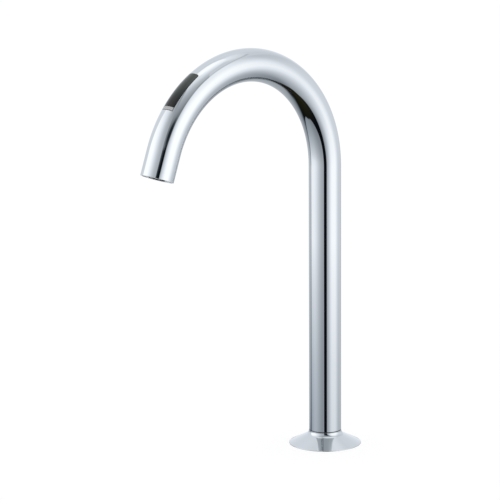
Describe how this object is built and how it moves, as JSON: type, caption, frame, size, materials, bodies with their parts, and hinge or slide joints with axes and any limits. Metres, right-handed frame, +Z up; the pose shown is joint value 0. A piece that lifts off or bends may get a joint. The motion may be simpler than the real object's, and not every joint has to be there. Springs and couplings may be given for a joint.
{
  "type": "water filter faucet",
  "caption": "Touchless gooseneck water filter faucet: bent chrome tube on a conical flange, dark sensor window near the tip, swivelling spout.",
  "frame": {"origin": "centre of the base flange's underside, on the deck, on the column's axis", "axes": "+Z up along the column, -X towards the outlet, +Y completes the right-handed frame"},
  "size_m": [0.2115, 0.056, 0.4169],
  "materials": {
    "chrome": "polished chrome plate",
    "brass": "turned brass",
    "nickel": "dull nickel plate",
    "steel": "stainless steel",
    "black_rubber": "matt moulded rubber",
    "black_plastic": "moulded acetal",
    "cable_sheath": "soft cable sheath",
    "white_plastic": "moulded acetal",
    "tube_plastic": "natural polyethylene",
    "window_plastic": "polished dark infrared window",
    "frosted_plastic": "frosted light grey lens",
    "circuit_board": "green solder mask",
    "emitter_plastic": "clear epoxy",
    "receiver_plastic": "dark epoxy",
    "lamp_plastic": "white lamp"
  },
  "bodies": {
    "base": {"base_flange": "chrome", "base_gasket": "black_rubber", "slip_ring": "black_plastic", "swivel_post": "brass", "lower_bush": "white_plastic", "upper_bush": "white_plastic", "swivel_o_rings": "black_rubber", "mounting_washer": "black_rubber", "steel_washer": "steel", "lock_nut": "brass", "end_guide": "black_plastic"},
    "spout": {"spout_pipe": "chrome", "nozzle_ring": "chrome", "spout_socket": "brass", "outlet_body": "nickel", "stream_screen": "steel", "swivel_screw": "steel", "outlet_o_rings": "black_rubber", "tube_seal": "black_rubber", "window_seal": "black_rubber", "sensor_holder": "black_plastic", "lead_socket": "black_plastic", "sensor_lead": "cable_sheath", "stream_former": "white_plastic", "lead_plug": "white_plastic", "water_tube": "tube_plastic", "sensor_window": "window_plastic", "indicator_lens": "frosted_plastic", "sensor_board": "circuit_board", "ir_emitter": "emitter_plastic", "ir_receiver": "receiver_plastic", "status_led": "lamp_plastic"}
  },
  "joints": [
    {"name": "spout_swivel", "type": "hinge", "parent": "base", "child": "spout", "pos_m": [0, 0, 0.0215], "axis": [0, 0, 1], "range_deg": [-60, 60]}
  ]
}
